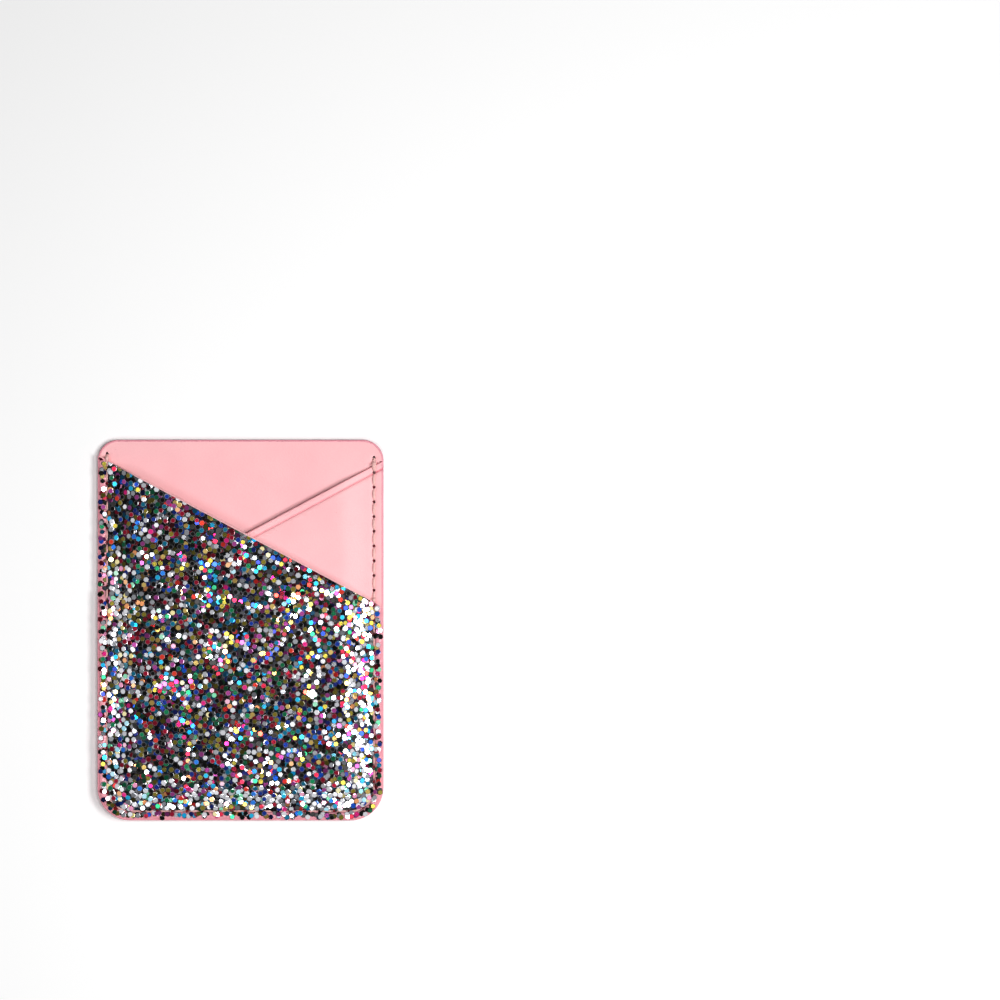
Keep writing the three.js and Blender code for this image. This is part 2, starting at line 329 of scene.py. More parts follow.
def smoothstep(value, low, high):
    t = np.clip((value - low) / (high - low), 0, 1)
    return t * t * (3 - 2 * t)


def rise_share(x, y):
    """How far a pocket sheet has risen, from 0 on its sewn rim to 1 inside."""
    return smoothstep(sides_inset_at(x, y), RIM_WIDTH, RIM_WIDTH + RISE_RUN)


def bell(distance, width):
    """1 at no distance, falling off smoothly over a width."""
    return np.exp(-((distance / width) ** 2))


def seam_sink(x, y):
    """How deep the thread pulls a sheet's face in: a groove, with a pucker at each hole."""
    groove = GROOVE_DEPTH * bell(seam_distance(x, y), GROOVE_WIDTH)
    return groove + PUCKER_DEPTH * bell(hole_distance(x, y), PUCKER_WIDTH)


def rounded(distance, radius):
    """How far a rounded edge falls below its face, at a distance inside the edge."""
    short = np.clip(radius - distance, 0, radius)
    return radius - np.sqrt(radius**2 - short**2)


DROP_LOW = mouth_height(MIDDLE_MOUTH, -RIGHT + RIM_WIDTH) + DROP_CLEARANCE


def front_under(x, y):
    """The front sheet's underside, which drops to the back sheet where the middle one ends."""
    drop = np.where(x > 0, 0, MIDDLE_THICKNESS * smoothstep(y, DROP_LOW, DROP_LOW + DROP_LENGTH))
    share = rise_share(x, y)
    return BACK_TOP + MIDDLE_THICKNESS + 2 * POCKET_GAP * share - drop * (1 - share)


def middle_under(x, y):
    return BACK_TOP + POCKET_GAP * rise_share(x, y)


def back_over(x, y):
    edge = rounded(inset_at(x, y), BACK_ROUND)
    return BACK_TOP - edge - seam_sink(x, y)


def back_under(x, y):
    return BACK_BOTTOM + rounded(inset_at(x, y), BACK_UNDER_ROUND)


def middle_over(x, y):
    depth = below_mouth(MIDDLE_MOUTH, x, y)
    edge = rounded(np.minimum(sides_inset_at(x, y), depth * MOUTH_TIGHTNESS), MIDDLE_ROUND)
    crease = CREASE_DEPTH * bell(depth - CREASE_INSET, CREASE_WIDTH)
    return middle_under(x, y) + MIDDLE_THICKNESS - edge - crease - seam_sink(x, y)


def middle_low(x, y):
    return middle_under(x, y) + rounded(sides_inset_at(x, y), POCKET_UNDER_ROUND)


def front_over(x, y):
    edge = rounded(sides_inset_at(x, y), FRONT_ROUND)
    return front_under(x, y) + FRONT_THICKNESS - edge - seam_sink(x, y)


def front_low(x, y):
    return front_under(x, y) + rounded(sides_inset_at(x, y), POCKET_UNDER_ROUND)


def sheet_waves(x, y):
    """Soft waves in the glitter sheet inside the seam."""
    places = list(zip(np.ravel(x), np.ravel(y)))
    total = np.zeros(len(places))
    for long_x, long_y, height, seed in WAVES:
        waves = [noise.noise(Vector((a / long_x, b / long_y, seed))) for a, b in places]
        total += height * np.array(waves)
    share = smoothstep(sides_inset_at(x, y), SEAM_INSET, SEAM_INSET + WAVE_RUN)
    return total.reshape(np.shape(x)) * share


def glitter_low(x, y):
    return front_over(x, y) + GLITTER_GAP


def glitter_over(x, y):
    inset = np.maximum(sides_inset_at(x, y), GLITTER_INSET)
    edge = rounded(inset - GLITTER_INSET, GLITTER_ROUND) * GLITTER_ROUND_HEIGHT
    top = front_under(x, y) + FRONT_THICKNESS + GLITTER_THICKNESS
    return top + sheet_waves(x, y) - edge - GLITTER_SINK * seam_sink(x, y)


# Making objects


def make_object(name, points, faces, materials, face_slots=None, smooth=True, attributes=None):
    """An object from points in millimetres, with a number at each point for each attribute."""
    mesh = bpy.data.meshes.new(name)
    mesh.from_pydata([tuple(c * MM for c in p) for p in points], [], faces)
    for material in materials:
        mesh.materials.append(material)
    if face_slots is not None:
        mesh.polygons.foreach_set("material_index", face_slots)
    mesh.polygons.foreach_set("use_smooth", [smooth] * len(mesh.polygons))
    for attribute, values in (attributes or {}).items():
        layer = mesh.attributes.new(attribute, "FLOAT", "POINT")
        layer.data.foreach_set("value", np.asarray(values, np.float32))
    mesh.update()
    piece = bpy.data.objects.new(name, mesh)
    bpy.context.scene.collection.objects.link(piece)
    return piece


def grid_points(step):
    """Points in a close triangular array over the outline's box."""
    rows = int(HEIGHT / (step * math.sqrt(0.75))) + 1
    columns = int(WIDTH / step) + 1
    points = []
    for row in range(rows):
        for column in range(columns):
            x = -RIGHT + (column + 0.5 * (row % 2)) * step
            points.append((x, BOTTOM + row * step * math.sqrt(0.75)))
    return np.array(points)


def seam_points():
    """Points along lines beside the seam."""
    points = []
    for offset in SEAM_RINGS:
        for length in np.arange(-SEAM_OVERRUN, SEAM_LENGTH + SEAM_OVERRUN, SEAM_RING_STEP):
            (x, y), angle = seam_at(float(length))
            points.append((x - offset * math.sin(angle), y + offset * math.cos(angle)))
    return np.array(points)


class Loop:
    """A family of outlines at distances inside a sheet's own edge."""

    def __init__(self, mouth, edge, trim):
        self.mouth = mouth
        self.edge = edge
        self.trim = trim

    def __call__(self, distance):
        if self.mouth is None:
            return closed_loop(self.edge + distance)
        return pocket_loop(self.mouth, self.edge + distance, self.trim + distance)


def needle_holes(sheet):
    """The needle holes that lie wholly inside a sheet."""
    loops = []
    for place, angle in HOLES:
        loop = hole_loop(place, angle)
        if all(inside_sheet(x, y, sheet, EDGE_MARGIN) for x, y in loop):
            loops.append(loop)
    return loops


def inner_points(sheet, grid_step):
    """Points inside a sheet: rings beside its edge, lines beside the seam and an even field."""
    rings = [np.array(resample(sheet(inset), BOUNDARY_STEP)) for inset in EDGE_RINGS]
    seam = seam_points()
    x, y = seam[:, 0], seam[:, 1]
    keep_seam = inside_sheet(x, y, sheet, EDGE_MARGIN) & ~in_hole(x, y, HOLE_MARGIN)
    field = grid_points(grid_step)
    x, y = field[:, 0], field[:, 1]
    keep_field = inside_sheet(x, y, sheet, EDGE_RINGS[-1] + FIELD_MARGIN)
    keep_field &= seam_distance(x, y) > SEAM_RINGS[-1] + SEAM_MARGIN
    return rings + [seam[keep_seam], field[keep_field]]


def triangulate(loops, inner):
    """Triangles between closed loops and the points inside them. Needle holes are left open."""
    points = []
    edges = []
    for loop in loops:
        first = len(points)
        points += loop
        edges += [(first + i, first + (i + 1) % len(loop)) for i in range(len(loop))]
    points += [tuple(p) for p in np.concatenate(inner)]
    made = delaunay_2d_cdt([Vector(p) for p in points], edges, [], 0, SAME_PLACE)
    flat = np.array([(v.x, v.y) for v in made[0]])
    faces = np.array([f if signed_area(flat, f) > 0 else f[::-1] for f in made[2]])
    middles = flat[faces].mean(1)
    faces = faces[~in_hole(middles[:, 0], middles[:, 1])]
    used = np.unique(faces)
    renumber = np.full(len(flat), -1)
    renumber[used] = np.arange(len(used))
    return flat[used], renumber[faces]


def cut_sheet(name, sheet, under, over, grid_step, materials, extra=()):
    """A closed sheet between two levels, inside its outline, with needle holes through it."""
    loops = [resample(sheet(0), BOUNDARY_STEP)] + needle_holes(sheet)
    flat, faces = triangulate(loops, inner_points(sheet, grid_step) + list(extra))
    x, y = flat[:, 0], flat[:, 1]
    return sheet_object(name, flat, faces, under(x, y), over(x, y), sheet.mouth, materials)


def signed_area(flat, face):
    (ax, ay), (bx, by), (cx, cy) = flat[list(face)]
    return (bx - ax) * (cy - ay) - (cx - ax) * (by - ay)


def inside_sheet(x, y, sheet, margin):
    """Whether points lie inside a sheet by a margin."""
    if sheet.mouth is None:
        return inset_at(x, y) > sheet.edge + margin
    beside = sides_inset_at(x, y) > sheet.edge + margin
    return beside & (below_mouth(sheet.mouth, x, y) > margin)


def rim_inset(x, y, mouth):
    """How far points lie inside a sheet's rim, which a pocket sheet doesn't have at its mouth."""
    return inset_at(x, y) if mouth is None else sides_inset_at(x, y)


def wall_slot(x, y, mouth):
    """Which material a wall has: the face's, the cut mouth's or the needle holes'."""
    at_mouth = mouth is not None and below_mouth(mouth, x, y) < MOUTH_REACH
    rim = rim_inset(x, y, mouth)
    if rim > RIM_REACH and not at_mouth:
        return 2
    return 1 if at_mouth and rim > CORNER_REACH else 0


def sheet_object(name, flat, faces, low, high, mouth, materials):
    """Top, underside and walls. Walls round holes take the painted shade of the holes, and walls at a cut
    mouth have a finish of their own.
    """
    count = len(flat)
    points = [(x, y, z) for level in (low, high) for (x, y), z in zip(flat, level)]
    solid = [tuple(int(i) for i in face[::-1]) for face in faces]
    solid += [tuple(int(i) + count for i in face) for face in faces]
    slots = [0] * len(solid)
    edges = dict.fromkeys(edge for a, b, c in faces for edge in ((a, b), (b, c), (c, a)))
    for a, b in edges:
        if (b, a) in edges:
            continue
        solid.append((int(a), int(b), int(b) + count, int(a) + count))
        x, y = (flat[a] + flat[b]) / 2
        slots.append(wall_slot(x, y, mouth))
    rim = rim_inset(flat[:, 0], flat[:, 1], mouth)
    crease = crease_tint(flat[:, 0], flat[:, 1]) if mouth is MIDDLE_MOUTH else np.zeros(count)
    attributes = {"rim": np.concatenate([rim, rim]), "crease": np.concatenate([crease, crease])}
    piece = make_object(name, points, solid, materials, slots, True, attributes)
    piece.data.set_sharp_from_angle(angle=math.radians(SHEET_SHARP))
    return piece


def crease_tint(x, y):
    """How far the middle sheet's mouth and crease are darkened towards rose, most of all on the rim."""
    depth = below_mouth(MIDDLE_MOUTH, x, y)
    darkening = bell(depth - CREASE_INSET, CREASE_WIDTH) + bell(depth, CREASE_WIDTH)
    return darkening * (RIM_DARKENING + (FIELD_DARKENING - RIM_DARKENING) * smoothstep(sides_inset_at(x, y), *DARKENING_FADE))


# Materials


def srgb(red, green, blue):
    """A colour written as screen values from 0 to 255."""
    linear = []
    for value in (red, green, blue):
        share = value / 255
        linear.append(share / 12.92 if share <= 0.04045 else ((share + 0.055) / 1.055) ** 2.4)
    return (*linear, 1.0)


class Nodes:
    """Short ways to add nodes to a material. Sizes and depths are in millimetres."""

    def __init__(self, name):
        self.material = bpy.data.materials.new(name)
        self.material.use_nodes = True
        self.tree = self.material.node_tree
        self.shader = self.tree.nodes["Principled BSDF"]
        coordinates = self.add("ShaderNodeTexCoord")
        scale = self.add("ShaderNodeVectorMath", operation="SCALE")
        scale.inputs["Scale"].default_value = 1 / MM
        self.link(coordinates.outputs["Object"], scale.inputs[0])
        self.place = scale.outputs[0]

    def add(self, kind, **settings):
        node = self.tree.nodes.new(kind)
        for key, value in settings.items():
            setattr(node, key, value)
        return node

    def link(self, source, target):
        self.tree.links.new(source, target)

    def set(self, **values):
        """Sets inputs of the shader, whose spaces are written as underscores."""
        for key, value in values.items():
            self.shader.inputs[key.replace("_", " ")].default_value = value

    def noise(self, size, detail=2.0):
        node = self.add("ShaderNodeTexNoise")
        node.inputs["Scale"].default_value = 1 / size
        node.inputs["Detail"].default_value = detail
        self.link(self.place, node.inputs["Vector"])
        return node.outputs["Fac"]

    def cells(self, size, output="Distance"):
        node = self.add("ShaderNodeTexVoronoi")
        node.inputs["Scale"].default_value = 1 / size
        self.link(self.place, node.inputs["Vector"])
        return node.outputs[output]

    def attribute(self, name):
        node = self.add("ShaderNodeAttribute", attribute_name=name)
        return node.outputs["Fac"]

    def ramp(self, factor, stops):
        """Colours along a factor, each with its position."""
        node = self.add("ShaderNodeValToRGB")
        elements = node.color_ramp.elements
        while len(elements) < len(stops):
            elements.new(0.5)
        for element, (position, colour) in zip(elements, stops):
            element.position = position
            element.color = colour
        self.link(factor, node.inputs["Fac"])
        return node.outputs["Color"]

    def span(self, factor, low, high, start=0.0, end=1.0):
        """Goes from low to high while the factor goes from start to end."""
        node = self.add("ShaderNodeMapRange")
        for key, value in (("From Min", start), ("From Max", end), ("To Min", low), ("To Max", high)):
            node.inputs[key].default_value = value
        self.link(factor, node.inputs["Value"])
        return node.outputs["Result"]

    def feed(self, socket, value):
        """Gives a socket a value, or links it where the value is another node's output."""
        if hasattr(value, "links"):
            self.link(value, socket)
        else:
            socket.default_value = value

    def mix(self, factor, first, second):
        node = self.add("ShaderNodeMix", data_type="RGBA")
        self.feed(node.inputs["Factor"], factor)
        self.feed(node.inputs["A"], first)
        self.feed(node.inputs["B"], second)
        return node.outputs["Result"]

    def sum(self, first, second):
        node = self.add("ShaderNodeMath", operation="ADD")
        self.feed(node.inputs[0], first)
        self.feed(node.inputs[1], second)
        return node.outputs[0]

    def bump(self, height, depth, strength=1.0):
        node = self.add("ShaderNodeBump")
        node.inputs["Strength"].default_value = strength
        node.inputs["Distance"].default_value = depth * MM
        self.link(height, node.inputs["Height"])
        self.link(node.outputs["Normal"], self.shader.inputs["Normal"])


PINK = srgb(251, 189, 192)
PINK_DEEP = srgb(243, 172, 178)
EDGE_PINK = srgb(226, 142, 156)
CREASE_ROSE = srgb(214, 96, 116)
CUT_SAND = srgb(232, 186, 150)
CUT_PEACH = srgb(244, 208, 180)
# Dark reds painted into the needle holes, and onto the thread where it goes down them, as painted shade
HOLE_SHADE_DARK = srgb(76, 8, 14)
HOLE_SHADE_RED = srgb(150, 30, 42)
# Black painted shade under and between the flakes
SHADE_BLACK = srgb(4, 4, 4)
# The pale grey painted on flake edges as a painted highlight
FLAKE_EDGE_HIGHLIGHT = srgb(176, 176, 180)
NEEDLE_DARK = srgb(224, 166, 162)
NEEDLE_LIGHT = srgb(250, 202, 196)
BOBBIN_DARK = srgb(214, 150, 146)
BOBBIN_LIGHT = srgb(240, 190, 180)
FOAM_DARK = srgb(226, 226, 221)
FOAM_LIGHT = srgb(238, 238, 234)

# The sizes of the leather's grain, its pores and its soft clouds of deeper pink
GRAIN = 0.34
PORES = 0.12
CLOUDS = 9.0
# Insets between which the painted rim gives way to the face, and how far that line wanders
PAINT_EDGE = (0.36, 0.47)
PAINT_WANDER = 0.06
# The same for the bare rim of the glitter
BARE_EDGE = (1.3, 2.1)
BARE_WANDER = 0.3
SPECK = 0.3


def leather(name):
    """Fine-grained pink leather whose rim is painted a darker pink."""
    m = Nodes(name)
    grain = m.cells(GRAIN)
    pores = m.noise(PORES, 3.0)
    cloud = m.noise(CLOUDS, 2.0)
    face = m.mix(m.span(cloud, 0.0, 0.45, 0.35, 0.7), PINK, PINK_DEEP)
    face = m.mix(m.span(grain, 0.0, 0.22, 0.3, 0.8), face, PINK_DEEP)
    wander = m.sum(m.attribute("rim"), m.span(m.noise(0.7), -PAINT_WANDER, PAINT_WANDER))
    painted = m.span(wander, 1.0, 0.0, *PAINT_EDGE)
    face = m.mix(painted, face, EDGE_PINK)
    m.link(m.mix(m.attribute("crease"), face, CREASE_ROSE), m.shader.inputs["Base Color"])
    m.link(m.sum(m.span(pores, 0.4, 0.56), m.span(painted, 0.0, -0.12)), m.shader.inputs["Roughness"])
    m.set(Specular_IOR_Level=0.42)
    height = m.sum(m.span(grain, 1.0, 0.0, 0.0, 0.7), m.span(pores, 0.0, 0.35))
    m.bump(height, 0.03, 0.55)
    return m.material


def cut_edge(name, dark, light):
    """The fibres of leather along a cut."""
    m = Nodes(name)
    fibres = m.noise(0.14, 4.0)
    m.link(m.ramp(fibres, [(0.3, dark), (0.7, light)]), m.shader.inputs["Base Color"])
    m.set(Roughness=0.75)
    m.bump(fibres, 0.05, 0.7)
    return m.material


# The walls of the needle holes, painted dark red as painted shade in the holes
def shaded_hole_wall(name):
    m = Nodes(name)
    fibres = m.noise(0.1, 3.0)
    m.link(m.ramp(fibres, [(0.3, HOLE_SHADE_DARK), (0.8, HOLE_SHADE_RED)]), m.shader.inputs["Base Color"])
    m.set(Roughness=0.9, Specular_IOR_Level=0.2)
    return m.material


def glitter_bed(name):
    """The fine dark glitter between the flakes. Outside the seam, pink shows through it."""
    m = Nodes(name)
    speck = m.cells(SPECK, "Color")
    separate = m.add("ShaderNodeSeparateColor")
    m.link(speck, separate.inputs["Color"])
    stops = [
        (0.0, srgb(6, 6, 7)),
        (0.35, srgb(28, 10, 18)),
        (0.55, srgb(10, 18, 34)),
        (0.75, srgb(20, 26, 14)),
        (1.0, srgb(70, 68, 72)),
    ]
    wander = m.sum(m.attribute("rim"), m.span(m.noise(0.9), -BARE_WANDER, BARE_WANDER))
    bare = m.span(wander, 0.85, 0.0, *BARE_EDGE)
    specks = m.ramp(separate.outputs["Red"], stops)
    m.link(m.mix(bare, specks, EDGE_PINK), m.shader.inputs["Base Color"])
    m.link(m.span(bare, 0.7, 0.0), m.shader.inputs["Metallic"])
    m.link(m.span(separate.outputs["Green"], 0.25, 0.6), m.shader.inputs["Roughness"])
    m.bump(separate.outputs["Blue"], 0.04, 0.8)
    return m.material


def flake(name, dark, light):
    """One colour of flake: dark foil under clear lacquer. Each flake has a shade of its own."""
    m = Nodes(name)
    # Low shades run to black: the painted shade of the lower layers under the flakes above
    stops = [(0.0, SHADE_BLACK), (0.3, dark), (1.0, light)]
    m.link(m.ramp(m.attribute("shade"), stops), m.shader.inputs["Base Color"])
    m.set(Metallic=1.0, Roughness=0.16, Coat_Weight=0.09, Coat_Roughness=0.16)
    m.bump(m.noise(0.5, 1.0), 0.01, 0.5)
    return m.material


def edge_highlight_colour(colour, share):
    """A colour moved towards the pale grey painted on flake edges as a painted highlight on their bevels.
    """
    return tuple(c + (g - c) * share for c, g in zip(colour[:3], FLAKE_EDGE_HIGHLIGHT[:3])) + (1.0,)


def thread(name, dark, light):
    """Twisted thread, painted dark red where it goes down a hole, as painted shade in the hole."""
    m = Nodes(name)
    fibre = m.ramp(m.noise(0.16, 4.0), [(0.3, dark), (0.7, light)])
    # The depth attribute mixes the thread towards the painted hole shade's red
    m.link(m.mix(m.attribute("depth"), fibre, HOLE_SHADE_RED), m.shader.inputs["Base Color"])
    m.set(Roughness=0.7, Sheen_Weight=0.25, Sheen_Roughness=0.4)
    m.bump(m.noise(0.07, 3.0), 0.02, 0.5)
    return m.material


def adhesive(name):
    """White foam with fine pores."""
    m = Nodes(name)
    pores = m.noise(0.5, 3.0)
    m.link(m.ramp(pores, [(0.3, FOAM_DARK), (0.7, FOAM_LIGHT)]), m.shader.inputs["Base Color"])
    m.link(m.span(pores, 0.3, 0.5), m.shader.inputs["Roughness"])
    m.bump(pores, 0.03, 0.4)
    return m.material


# Sheets


def crease_points():
    """Points along the pressed line and beside it, so that the mesh follows it."""
    slant = mouth_slant(MIDDLE_MOUTH)
    points = []
    for offset in CREASE_OFFSETS:
        for x in np.arange(-RIGHT + CREASE_END, RIGHT - CREASE_END, CREASE_STEP):
            y = mouth_height(MIDDLE_MOUTH, x) - (CREASE_INSET + offset) * slant
            if sides_inset_at(x, y) > CREASE_END and not in_hole(x, y, CREASE_HOLE_MARGIN):
                points.append((x, y))
    return np.array(points)


def add_piece(piece, slot, *nodes):
    """Puts a piece on the body and hides the solids that it stands for. Its material slot is not used."""
    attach(piece, "root")
    if nodes:
        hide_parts(*nodes)
    return piece


def build_sheets():
    pink = leather("pink_leather")
    cut = cut_edge("cut_leather_edge", CUT_SAND, CUT_PEACH)
    painted = cut_edge("painted_leather_edge", CREASE_ROSE, EDGE_PINK)
    dark = shaded_hole_wall("needle_hole_shade")
    specks = glitter_bed("glitter_bed")
    walls = [pink, cut, dark]
    back = cut_sheet("back_sheet", Loop(None, 0, 0), back_under, back_over, BACK_GRID, walls)
    add_piece(back, "back_leather", "back_panel")
    middle = cut_sheet(
        "middle_sheet",
        Loop(MIDDLE_MOUTH, 0, 0),
        middle_low,
        middle_over,
        POCKET_GRID,
        [pink, painted, dark],
        [crease_points()],
    )
    add_piece(middle, "middle_leather", "middle_panel")
    front = cut_sheet("front_sheet", Loop(FRONT_MOUTH, 0, 0), front_low, front_over, POCKET_GRID, walls)
    add_piece(front, "front_leather", "front_panel")
    bed = cut_sheet(
        "glitter_bed",
        Loop(FRONT_MOUTH, GLITTER_INSET, GLITTER_TRIM),
        glitter_low,
        glitter_over,
        POCKET_GRID,
        [specks, specks, dark],
    )
    add_piece(bed, "glitter", "glitter_layer")


# Flakes

# Each layer of flakes, from the bottom up: least distance between two, lowest and highest lift, the
# shades, which are darker in the lower layers as painted shade under the flakes above, and how far it
# stays inside the glitter's edge
FLAKE_LAYERS = (
    (0.85, 0.0, 0.04, 0.0, 0.25, 0.5),
    (0.95, 0.1, 0.14, 0.1, 0.6, 0.2),
    (1.05, 0.2, 0.25, 0.3, 1.0, 0.12),
)
DARTS_PER_CELL = 7
# How far a flake's middle may lie beyond the cut mouth, and how wide the seam is left bare
FLAKE_OVERHANG = 0.3
SEAM_BARE = 0.27
FLAKE_SIDES = 6
FLAKE_RADIUS = (0.54, 0.62)
FLAKE_THICKNESS = 0.04
FLAKE_BEVEL = 0.085
FLAKE_TILT = 0.035
FLAKE_TILT_MOST = 0.25
FLAKE_SEED = 41
# The step over which the glitter sheet's slope is measured
SLOPE_STEP = 0.05
# How far flakes near each other lean the same way, and over what distance
SWAY = 0.24
SWAY_LENGTH = 4.5
SWAY_SEEDS = (176.18, 196.18)
SLOPE_CALM = 0.6

# name, darkest, lightest, share of the flakes on the flat and in the band of painted highlight, how far its
# edge is painted towards the pale grey highlight
FLAKE_KINDS = (
    ("black", srgb(2, 2, 2), srgb(10, 9, 9), 0.24, 0.07, 0.3),
    ("maroon", srgb(70, 4, 16), srgb(140, 16, 42), 0.11, 0.06, 0.45),
    ("red", srgb(134, 20, 18), srgb(206, 58, 42), 0.02, 0.02, 0.35),
    ("navy", srgb(10, 16, 64), srgb(18, 50, 138), 0.08, 0.04, 0.45),
    ("royal", srgb(10, 58, 150), srgb(42, 122, 212), 0.02, 0.03, 0.35),
    ("teal", srgb(2, 46, 68), srgb(12, 100, 128), 0.07, 0.04, 0.45),
    ("green", srgb(2, 46, 28), srgb(16, 108, 68), 0.07, 0.04, 0.45),
    ("olive", srgb(48, 44, 6), srgb(124, 112, 34), 0.12, 0.06, 0.45),
    ("gold", srgb(122, 98, 46), srgb(200, 172, 98), 0.03, 0.03, 0.35),
    ("plum", srgb(78, 20, 66), srgb(156, 64, 136), 0.05, 0.03, 0.45),
    ("rose", srgb(152, 16, 84), srgb(226, 46, 132), 0.012, 0.02, 0.4),
    ("cyan", srgb(4, 122, 170), srgb(38, 190, 228), 0.016, 0.03, 0.5),
    ("peach", srgb(214, 142, 92), srgb(250, 194, 144), 0.008, 0.02, 0.5),
    ("grey", srgb(84, 86, 92), srgb(206, 208, 214), 0.18, 0.14, 0.7),
    ("silver", srgb(190, 190, 196), srgb(244, 244, 248), 0.04, 0.30, 0.7),
    ("ice", srgb(110, 190, 214), srgb(190, 232, 244), 0.004, 0.05, 0.7),
    ("blush", srgb(222, 140, 178), srgb(246, 204, 222), 0.004, 0.05, 0.7),
    ("cream", srgb(222, 206, 140), srgb(246, 240, 200), 0.004, 0.04, 0.7),
    ("mint", srgb(110, 204, 160), srgb(190, 238, 212), 0.003, 0.03, 0.7),
)
# Insets between which the share of pale flakes comes up to the band's and goes down again: a painted
# highlight along the sloping sides
HIGHLIGHT_BAND = (0.4, 2.4, 5.0, 9.0)
# Heights between which this painted highlight fades out towards the top
HIGHLIGHT_BAND_TOP = (10, 22)


def spread_points(spacing, rng):
    """Random places over the holder, no two of them nearer than the spacing."""
    cell = spacing / math.sqrt(2)
    columns = int(WIDTH / cell) + 1
    rows = int(HEIGHT / cell) + 1
    darts = rng.random((columns * rows * DARTS_PER_CELL, 2)) * (WIDTH, HEIGHT)
    taken = {}
    for dart in darts:
        column = int(dart[0] / cell)
        row = int(dart[1] / cell)
        near = [taken.get((column + i, row + j)) for i in range(-2, 3) for j in range(-2, 3)]
        if all(other is None or math.hypot(*(dart - other)) >= spacing for other in near):
            taken[column, row] = dart
    return np.array(list(taken.values())) - (WIDTH / 2, HEIGHT / 2)


def flake_places(rng):
    """Places for flakes layer by layer, with a lift and a shade for each."""
    places = []
    lifts = []
    shades = []
    for spacing, low, high, darkest, lightest, margin in FLAKE_LAYERS:
        points = spread_points(spacing, rng)
        x, y = points[:, 0], points[:, 1]
        keep = below_mouth(FRONT_MOUTH, x, y) > GLITTER_TRIM - FLAKE_OVERHANG
        keep &= sides_inset_at(x, y) > GLITTER_INSET + margin
        keep &= seam_distance(x, y) > SEAM_BARE
        places.append(points[keep])
        lifts.append(rng.uniform(low, high, int(keep.sum())))
        shades.append(rng.uniform(darkest, lightest, int(keep.sum())))
    return np.concatenate(places), np.concatenate(lifts), np.concatenate(shades)


def flake_normals(x, y):
    """The way that the glitter sheet faces."""
    dx = (glitter_over(x + SLOPE_STEP, y) - glitter_over(x - SLOPE_STEP, y)) / (2 * SLOPE_STEP)
    dy = (glitter_over(x, y + SLOPE_STEP) - glitter_over(x, y - SLOPE_STEP)) / (2 * SLOPE_STEP)
    normal = np.stack([-dx, -dy, np.ones_like(dx)], 1)
    return normal / np.linalg.norm(normal, axis=1)[:, None]


def sway_at(x, y):
    """The lean that flakes near each other share, along X and Y. It is small on the slopes."""
    leans = []
    for a, b in zip(x / SWAY_LENGTH, y / SWAY_LENGTH):
        leans.append([noise.noise(Vector((a, b, seed))) for seed in SWAY_SEEDS])
    share = rise_share(x, y)
    slope = 4 * share * (1 - share)
    return SWAY * np.array(leans) * (1 - SLOPE_CALM * slope)[:, None]


def flake_directions(x, y, rng):
    """The way that each flake faces, and two directions along it."""
    tilt = rng.normal(0, FLAKE_TILT, (len(x), 2)).clip(-FLAKE_TILT_MOST, FLAKE_TILT_MOST)
    normal = flake_normals(x, y)
    normal[:, :2] += tilt + sway_at(x, y)
    normal /= np.linalg.norm(normal, axis=1)[:, None]
    side = np.cross(normal, [0.0, 1.0, 0.0])
    side /= np.linalg.norm(side, axis=1)[:, None]
    return normal, side, np.cross(normal, side)


def flake_plates(centre, directions, size, rng):
    """The corners of each flake: a ring of them below, and one above that lies nearer its middle."""
    normal, side, other = directions
    angles = (rng.random((len(centre), 1)) + np.arange(FLAKE_SIDES)) * 2 * math.pi / FLAKE_SIDES
    ring = np.cos(angles)[:, :, None] * side[:, None, :] + np.sin(angles)[:, :, None] * other[:, None, :]
    raised = centre + normal * FLAKE_THICKNESS
    low = centre[:, None, :] + ring * size[:, None, None]
    high = raised[:, None, :] + ring * (size - FLAKE_BEVEL)[:, None, None]
    return trim_plates(np.concatenate([low, high], 1))


def build_flakes():
    rng = np.random.default_rng(FLAKE_SEED)
    places, lift, shade = flake_places(rng)
    x, y = places[:, 0], places[:, 1]
    directions = flake_directions(x, y, rng)
    centre = np.stack([x, y, glitter_over(x, y) + lift], 1)
    size = rng.uniform(*FLAKE_RADIUS, len(x))
    kinds = choose_kinds(x, y, rng)
    plates = flake_plates(centre, directions, size, rng)
    for index, (name, dark, light, _, _, edge) in enumerate(FLAKE_KINDS):
        chosen = np.flatnonzero(kinds == index)
        face = flake(f"flake_{name}", dark, light)
        # Edges painted towards pale grey: a painted highlight on each flake's bevel
        rim = flake(f"flake_{name}_edge", dark, edge_highlight_colour(light, edge))
        piece = flake_object(f"flakes_{name}", plates[chosen], shade[chosen], [face, rim])
        add_piece(piece, "glitter")


def choose_kinds(x, y, rng):
    """A kind for each flake. Pale ones come up more in a band along the sides, a painted highlight where
    the sheet slopes, fading out towards the top.
    """
    inset = sides_inset_at(x, y)
    painted_highlight = smoothstep(inset, *HIGHLIGHT_BAND[:2]) * (1 - smoothstep(inset, *HIGHLIGHT_BAND[2:]))
    painted_highlight *= 1 - smoothstep(y, *HIGHLIGHT_BAND_TOP)
    flat = np.cumsum([kind[3] for kind in FLAKE_KINDS])
    highlight_shares = np.cumsum([kind[4] for kind in FLAKE_KINDS])
    steps = flat / flat[-1] + painted_highlight[:, None] * (highlight_shares / highlight_shares[-1] - flat / flat[-1])
    return (rng.random(len(x))[:, None] > steps[:, :-1]).sum(1)


def trim_plates(plates):
    """Flakes that reach past the glitter sheet's cut mouth end at the cut."""
    slope = (FRONT_MOUTH[1] - FRONT_MOUTH[0]) / WIDTH
    down = np.array([-slope, -1.0]) / math.hypot(slope, 1)
    past = np.maximum(0, GLITTER_TRIM - below_mouth(FRONT_MOUTH, plates[..., 0], plates[..., 1]))
    plates[..., :2] += past[..., None] * down
    return plates


